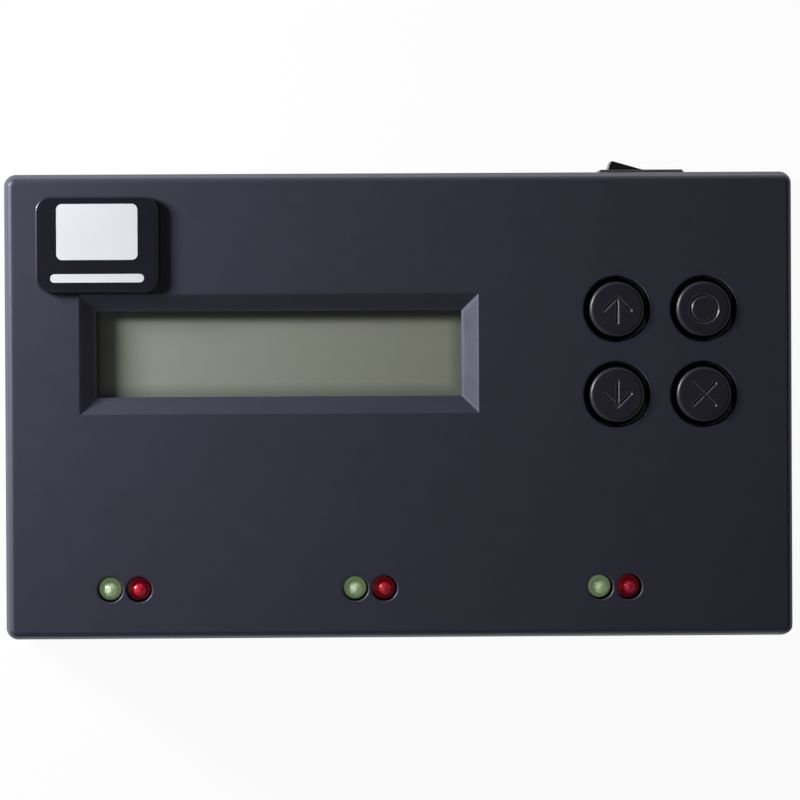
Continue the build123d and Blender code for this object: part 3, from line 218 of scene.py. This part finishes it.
def lamp_lens(name, body, core, glow):
    """Milky tinted epoxy under a clear skin, with light spreading inside it.

    Its faint glow is painted light, which keeps the lamps far from the light as bright as in the
    photo."""
    cloud_size = 0.9 * MM
    light_depth = 4.0 * MM
    least_reach = 0.1
    material, shader = finish(name, body, 0.30)
    clouds = spread(material, grain(material, cloud_size, detail=1.0), 0.0, 1.0)
    shade = tint(material, clouds, body, core)
    material.node_tree.links.new(shade, shader.inputs["Base Color"])
    reach = tuple(math.sqrt(max(value, least_reach)) for value in core)
    shader.inputs["Subsurface Weight"].default_value = 1.0
    shader.inputs["Subsurface Radius"].default_value = reach
    shader.inputs["Subsurface Scale"].default_value = light_depth
    shader.inputs["Subsurface Anisotropy"].default_value = 0.6
    # Painted light: the unlit lens gives off a faint glow in its core colour.
    shader.inputs["Emission Color"].default_value = (*core, 1.0)
    shader.inputs["Emission Strength"].default_value = glow
    clear_coat(shader, 0.8, 0.22)
    return material


def display_face():
    """Unlit grey-green display film behind its glass: faint dots, a tint that turns warmer to the
    right and darker there as painted shade, and painted shade in a band along the window's edges."""
    left_tint = (0.288, 0.302, 0.262)
    right_tint = (0.268, 0.280, 0.222)
    dot_shade = (0.975, 0.975, 0.975)
    painted_edge_shade = (0.66, 0.67, 0.68)
    no_shade = (1.0, 1.0, 1.0)
    dot_pitch_x = 0.62 * MM
    dot_pitch_y = 0.70 * MM
    dot_edge_start = 0.04 * MM
    dot_edge_end = 0.08 * MM
    edge_shade_start = 2.4 * MM
    edge_shade_end = 0.6 * MM
    cloud_size = 14.0 * MM
    material, shader = finish("display_film", left_tint, 0.22)
    tree = material.node_tree
    place = tree.nodes.new("ShaderNodeTexCoord")
    split = tree.nodes.new("ShaderNodeSeparateXYZ")
    tree.links.new(place.outputs["Object"], split.inputs["Vector"])

    in_dot = []
    inside = []
    for axis, pitch, middle, half in (
        ("X", dot_pitch_x, window_x, window_half_width),
        ("Y", dot_pitch_y, window_y, window_half_height),
    ):
        wave = arithmetic(material, "PINGPONG", split.outputs[axis], pitch / 2)
        in_dot.append(spread(material, wave, 0.0, 1.0, dot_edge_start, dot_edge_end))
        # Painted shade: the film darkens in a band along each edge of the window.
        offset = arithmetic(material, "SUBTRACT", split.outputs[axis], middle)
        away = arithmetic(material, "ABSOLUTE", offset, 0.0)
        inside.append(spread(material, away, 1.0, 0.0, half - edge_shade_start, half - edge_shade_end))
    window_left = window_x - window_half_width
    window_right = window_x + window_half_width
    # Painted shade: the film's tint turns darker, and warmer, towards the right.
    along = spread(material, split.outputs["X"], 0.0, 1.0, window_left, window_right)
    film = tint(material, along, left_tint, right_tint)
    dots = tint(material, arithmetic(material, "MULTIPLY", *in_dot), no_shade, dot_shade)
    shading = tint(material, arithmetic(material, "MULTIPLY", *inside), painted_edge_shade, dots)
    colour = tint(material, 1.0, film, shading, blend="MULTIPLY")
    gloss = spread(material, grain(material, cloud_size), 0.18, 0.26)
    tree.links.new(colour, shader.inputs["Base Color"])
    tree.links.new(gloss, shader.inputs["Roughness"])
    clear_coat(shader, 1.0, 0.04)
    return material


def board_lacquer():
    """Solder mask: mottled green under a clear skin."""
    material = moulded("solder_mask", (0.012, 0.10, 0.035), 0.38, 0.5, 0.006, mottle=0.2)
    clear_coat(principled(material), 0.5, 0.2)
    return material


def case_moulding():
    """The case's blue-black plastic: wide edges worn smoother and painted lighter as a painted
    highlight, and a bluish gloss.
    """
    blue_black = (0.0118, 0.0113, 0.0235)
    # Painted highlight: within 1.4 mm of an edge the colour is painted up to twice as light.
    material = moulded(
        "case_plastic", blue_black, 0.66, 0.22, 0.010, mottle=0.07, edge_wear_and_highlight=1.0, edge_mm=1.4
    )
    shader = principled(material)
    shader.inputs["Specular IOR Level"].default_value = 0.90
    shader.inputs["Specular Tint"].default_value = (0.785, 0.80, 1.0, 1.0)
    return material


# One material for each slot of the record. The three numbers after a moulded one's colour are its
# roughness and the size and depth of its grain in millimetres.
badge_black = (0.0080, 0.0076, 0.0145)
switch_black = (0.009, 0.009, 0.010)
key_black = (0.0170, 0.0162, 0.0260)
finishes = {
    "case_plastic": case_moulding(),
    "foot_rubber": moulded("foot_rubber", (0.016, 0.016, 0.016), 0.80, 0.30, 0.02, mottle=0.25),
    "screw_steel": plated("zinc_plate", (0.62, 0.62, 0.60), 0.34),
    "badge_plastic": moulded("badge_black", badge_black, 0.30, 0.5, 0.003, edge_wear_and_highlight=0.6),
    "badge_white": moulded("badge_white", (0.70, 0.71, 0.77), 0.32, 0.6, 0.003, mottle=0.02),
    "gasket_foam": moulded("gasket_foam", (0.012, 0.012, 0.012), 0.95, 0.18, 0.05, mottle=0.4),
    "display_frame_metal": moulded("frame_lacquer", (0.012, 0.012, 0.013), 0.42, 0.4, 0.004),
    "display_glass": display_face(),
    "strip_rubber": moulded("strip_rubber", (0.55, 0.20, 0.26), 0.6, 0.3, 0.01, mottle=0.2),
    "light_guide": moulded("light_guide", (0.72, 0.76, 0.66), 0.35, 0.6, 0.004, mottle=0.03),
    "board_laminate": board_lacquer(),
    "black_moulding": moulded(
        "black_moulding", (0.011, 0.011, 0.012), 0.46, 0.25, 0.008, edge_wear_and_highlight=0.5
    ),
    "pin_metal": plated("gold_flash", (0.85, 0.62, 0.28), 0.28),
    "bright_sheet": plated("tin_plate", (0.70, 0.70, 0.69), 0.30, streak=(1.0, 0.08, 1.0)),
    "spacer_nylon": moulded("spacer_nylon", (0.62, 0.60, 0.50), 0.5, 0.4, 0.006, mottle=0.05),
    "chip_black": moulded("chip_epoxy", (0.018, 0.018, 0.020), 0.55, 0.12, 0.010, mottle=0.2),
    "inductor_ferrite": moulded("ferrite", (0.045, 0.045, 0.048), 0.62, 0.2, 0.02, mottle=0.3),
    "capacitor_can": plated("drawn_can", (0.72, 0.72, 0.73), 0.32),
    "switch_plastic": moulded("switch_black", switch_black, 0.34, 0.4, 0.004, edge_wear_and_highlight=0.6),
    "rocker_plastic": moulded("rocker_black", switch_black, 0.30, 0.4, 0.003, edge_wear_and_highlight=0.6),
    "wire_insulation": moulded("wire_red", (0.40, 0.012, 0.010), 0.42, 0.8, 0.004, mottle=0.06),
    "plug_white": moulded("plug_nylon", (0.72, 0.70, 0.62), 0.44, 0.5, 0.005, mottle=0.04),
    "lamp_green_lens": lamp_lens(
        "green_epoxy", body=(0.50, 0.80, 0.40), core=(0.66, 0.92, 0.50), glow=0.13
    ),
    "lamp_red_lens": lamp_lens(
        "red_epoxy", body=(0.72, 0.012, 0.045), core=(0.90, 0.022, 0.070), glow=0.05
    ),
    "key_plastic": moulded("key_black", key_black, 0.40, 0.35, 0.004, edge_wear_and_highlight=0.1),
    "plunger_plastic": moulded("plunger_grey", (0.05, 0.05, 0.052), 0.5, 0.4, 0.006),
}
for part in frame["record"]["subparts"]:
    mesh = nodes[part["node"]].data
    mesh.materials.clear()
    mesh.materials.append(finishes[part["material_slot"]])


# Stage: a white table, a hair under the feet, that curves up into a low wall all round
def staged_bowl(floor_radius, rim_radius, wall_height):
    """A round floor that turns up into a wall, spun from one profile."""
    ring_shares = (0.0, 0.1, 0.3, 0.6, 1.0)
    bend_steps = 8
    turn_steps = 96
    weld_distance = 0.01 * MM
    gap_under_feet = 0.05 * MM
    bend = rim_radius - floor_radius
    profile = [Vector((floor_radius * share, 0, 0)) for share in ring_shares]
    for step in range(1, bend_steps + 1):
        angle = math.radians(90) * step / bend_steps
        radius = floor_radius + bend * math.sin(angle)
        profile.append(Vector((radius, 0, bend * (1 - math.cos(angle)))))
    profile.append(Vector((rim_radius, 0, wall_height)))
    bm = bmesh.new()
    points = [bm.verts.new(p) for p in profile]
    edges = [bm.edges.new(pair) for pair in zip(points, points[1:])]
    bmesh.ops.spin(
        bm,
        geom=points + edges,
        cent=(0, 0, 0),
        axis=(0, 0, 1),
        angle=math.radians(360),
        steps=turn_steps,
        use_merge=True,
    )
    bmesh.ops.remove_doubles(bm, verts=bm.verts, dist=weld_distance)
    bmesh.ops.recalc_face_normals(bm, faces=bm.faces)
    if sum(face.normal.z for face in bm.faces) < 0:
        bmesh.ops.reverse_faces(bm, faces=bm.faces)
    mesh = bpy.data.meshes.new("white_table")
    bm.to_mesh(mesh)
    bm.free()
    for polygon in mesh.polygons:
        polygon.use_smooth = True
    table = bpy.data.objects.new("white_table", mesh)
    table.location.z = -gap_under_feet
    bpy.context.scene.collection.objects.link(table)
    return table


def table_paint(own_light):
    """White paint that camera, mirror and glass rays see mostly as its own plain white."""
    material, shader = finish("table_paint", (0.86, 0.86, 0.86), 0.7)
    shader.inputs["Specular IOR Level"].default_value = 0.2
    tree = material.node_tree
    path = tree.nodes.new("ShaderNodeLightPath")
    seen = path.outputs["Is Camera Ray"]
    for kind in ("Is Glossy Ray", "Is Transmission Ray"):
        seen = arithmetic(material, "MAXIMUM", seen, path.outputs[kind])
    share = arithmetic(material, "MULTIPLY", seen, own_light)
    white = tree.nodes.new("ShaderNodeEmission")
    white.inputs["Color"].default_value = (1.0, 1.0, 1.0, 1.0)
    mix = tree.nodes.new("ShaderNodeMixShader")
    tree.links.new(share, mix.inputs["Fac"])
    tree.links.new(shader.outputs["BSDF"], mix.inputs[1])
    tree.links.new(white.outputs["Emission"], mix.inputs[2])
    tree.links.new(mix.outputs["Shader"], tree.nodes["Material Output"].inputs["Surface"])
    return material


table = staged_bowl(floor_radius=3.4, rim_radius=4.2, wall_height=1.9)
table.data.materials.append(table_paint(own_light=0.95))


# Camera: above the middle, leaning a little to the left and to the rear
camera_distance = 1.2
pixels_per_mm = 5.7046
image_width = 800
lean_left = math.radians(1.5)
lean_rear = math.radians(1.0)
camera_turn = math.radians(-0.284)
aim = Vector((-0.08 * MM, 0.06 * MM, top_z))
camera_data = bpy.data.cameras.new("camera")
camera_data.sensor_width = 36.0
camera_data.lens = pixels_per_mm / MM * camera_distance * camera_data.sensor_width / image_width
camera_data.clip_start = 0.01
camera = bpy.data.objects.new("camera", camera_data)
backwards = Vector((-math.tan(lean_left), math.tan(lean_rear), 1.0)).normalized()
rightwards = Vector((0.0, 1.0, 0.0)).cross(backwards).normalized()
upwards = backwards.cross(rightwards)
facing = Matrix((rightwards, upwards, backwards)).transposed()
camera.location = aim + backwards * camera_distance
camera.rotation_euler = (facing @ Matrix.Rotation(camera_turn, 3, "Z")).to_euler()
bpy.context.scene.collection.objects.link(camera)
bpy.context.scene.camera = camera


# Light: one small lamp low on the left and a little behind, a weak soft one high at the front
# left, and a faint even surround
def soft_lamp(name, azimuth, elevation, distance, width, height, radiance):
    """A rectangular lamp aimed at the middle of the top face. Angles are in degrees."""
    data = bpy.data.lights.new(name, "AREA")
    data.shape = "RECTANGLE"
    data.size = width
    data.size_y = height
    data.energy = radiance * math.pi * width * height
    lamp = bpy.data.objects.new(name, data)
    round_by = math.radians(azimuth)
    up_by = math.radians(elevation)
    level = math.cos(up_by)
    way = Vector((level * math.cos(round_by), level * math.sin(round_by), math.sin(up_by)))
    lamp.location = Vector((0, centre.y, top_z)) + way * distance
    lamp.rotation_euler = way.to_track_quat("Z", "Y").to_euler()
    lamp.visible_camera = False
    bpy.context.scene.collection.objects.link(lamp)


soft_lamp(
    "left_lamp",
    azimuth=157,
    elevation=18,
    distance=0.29,
    width=0.080,
    height=0.062,
    radiance=100.0,
)
soft_lamp(
    "front_lamp",
    azimuth=225,
    elevation=66,
    distance=0.80,
    width=0.30,
    height=0.30,
    radiance=1.0,
)

world = bpy.data.worlds.new("surround")
world.use_nodes = True
surround = world.node_tree.nodes["Background"]
surround.inputs["Color"].default_value = (1.0, 1.0, 1.0, 1.0)
surround.inputs["Strength"].default_value = 0.04
bpy.context.scene.world = world
bpy.context.scene.view_settings.view_transform = "Standard"
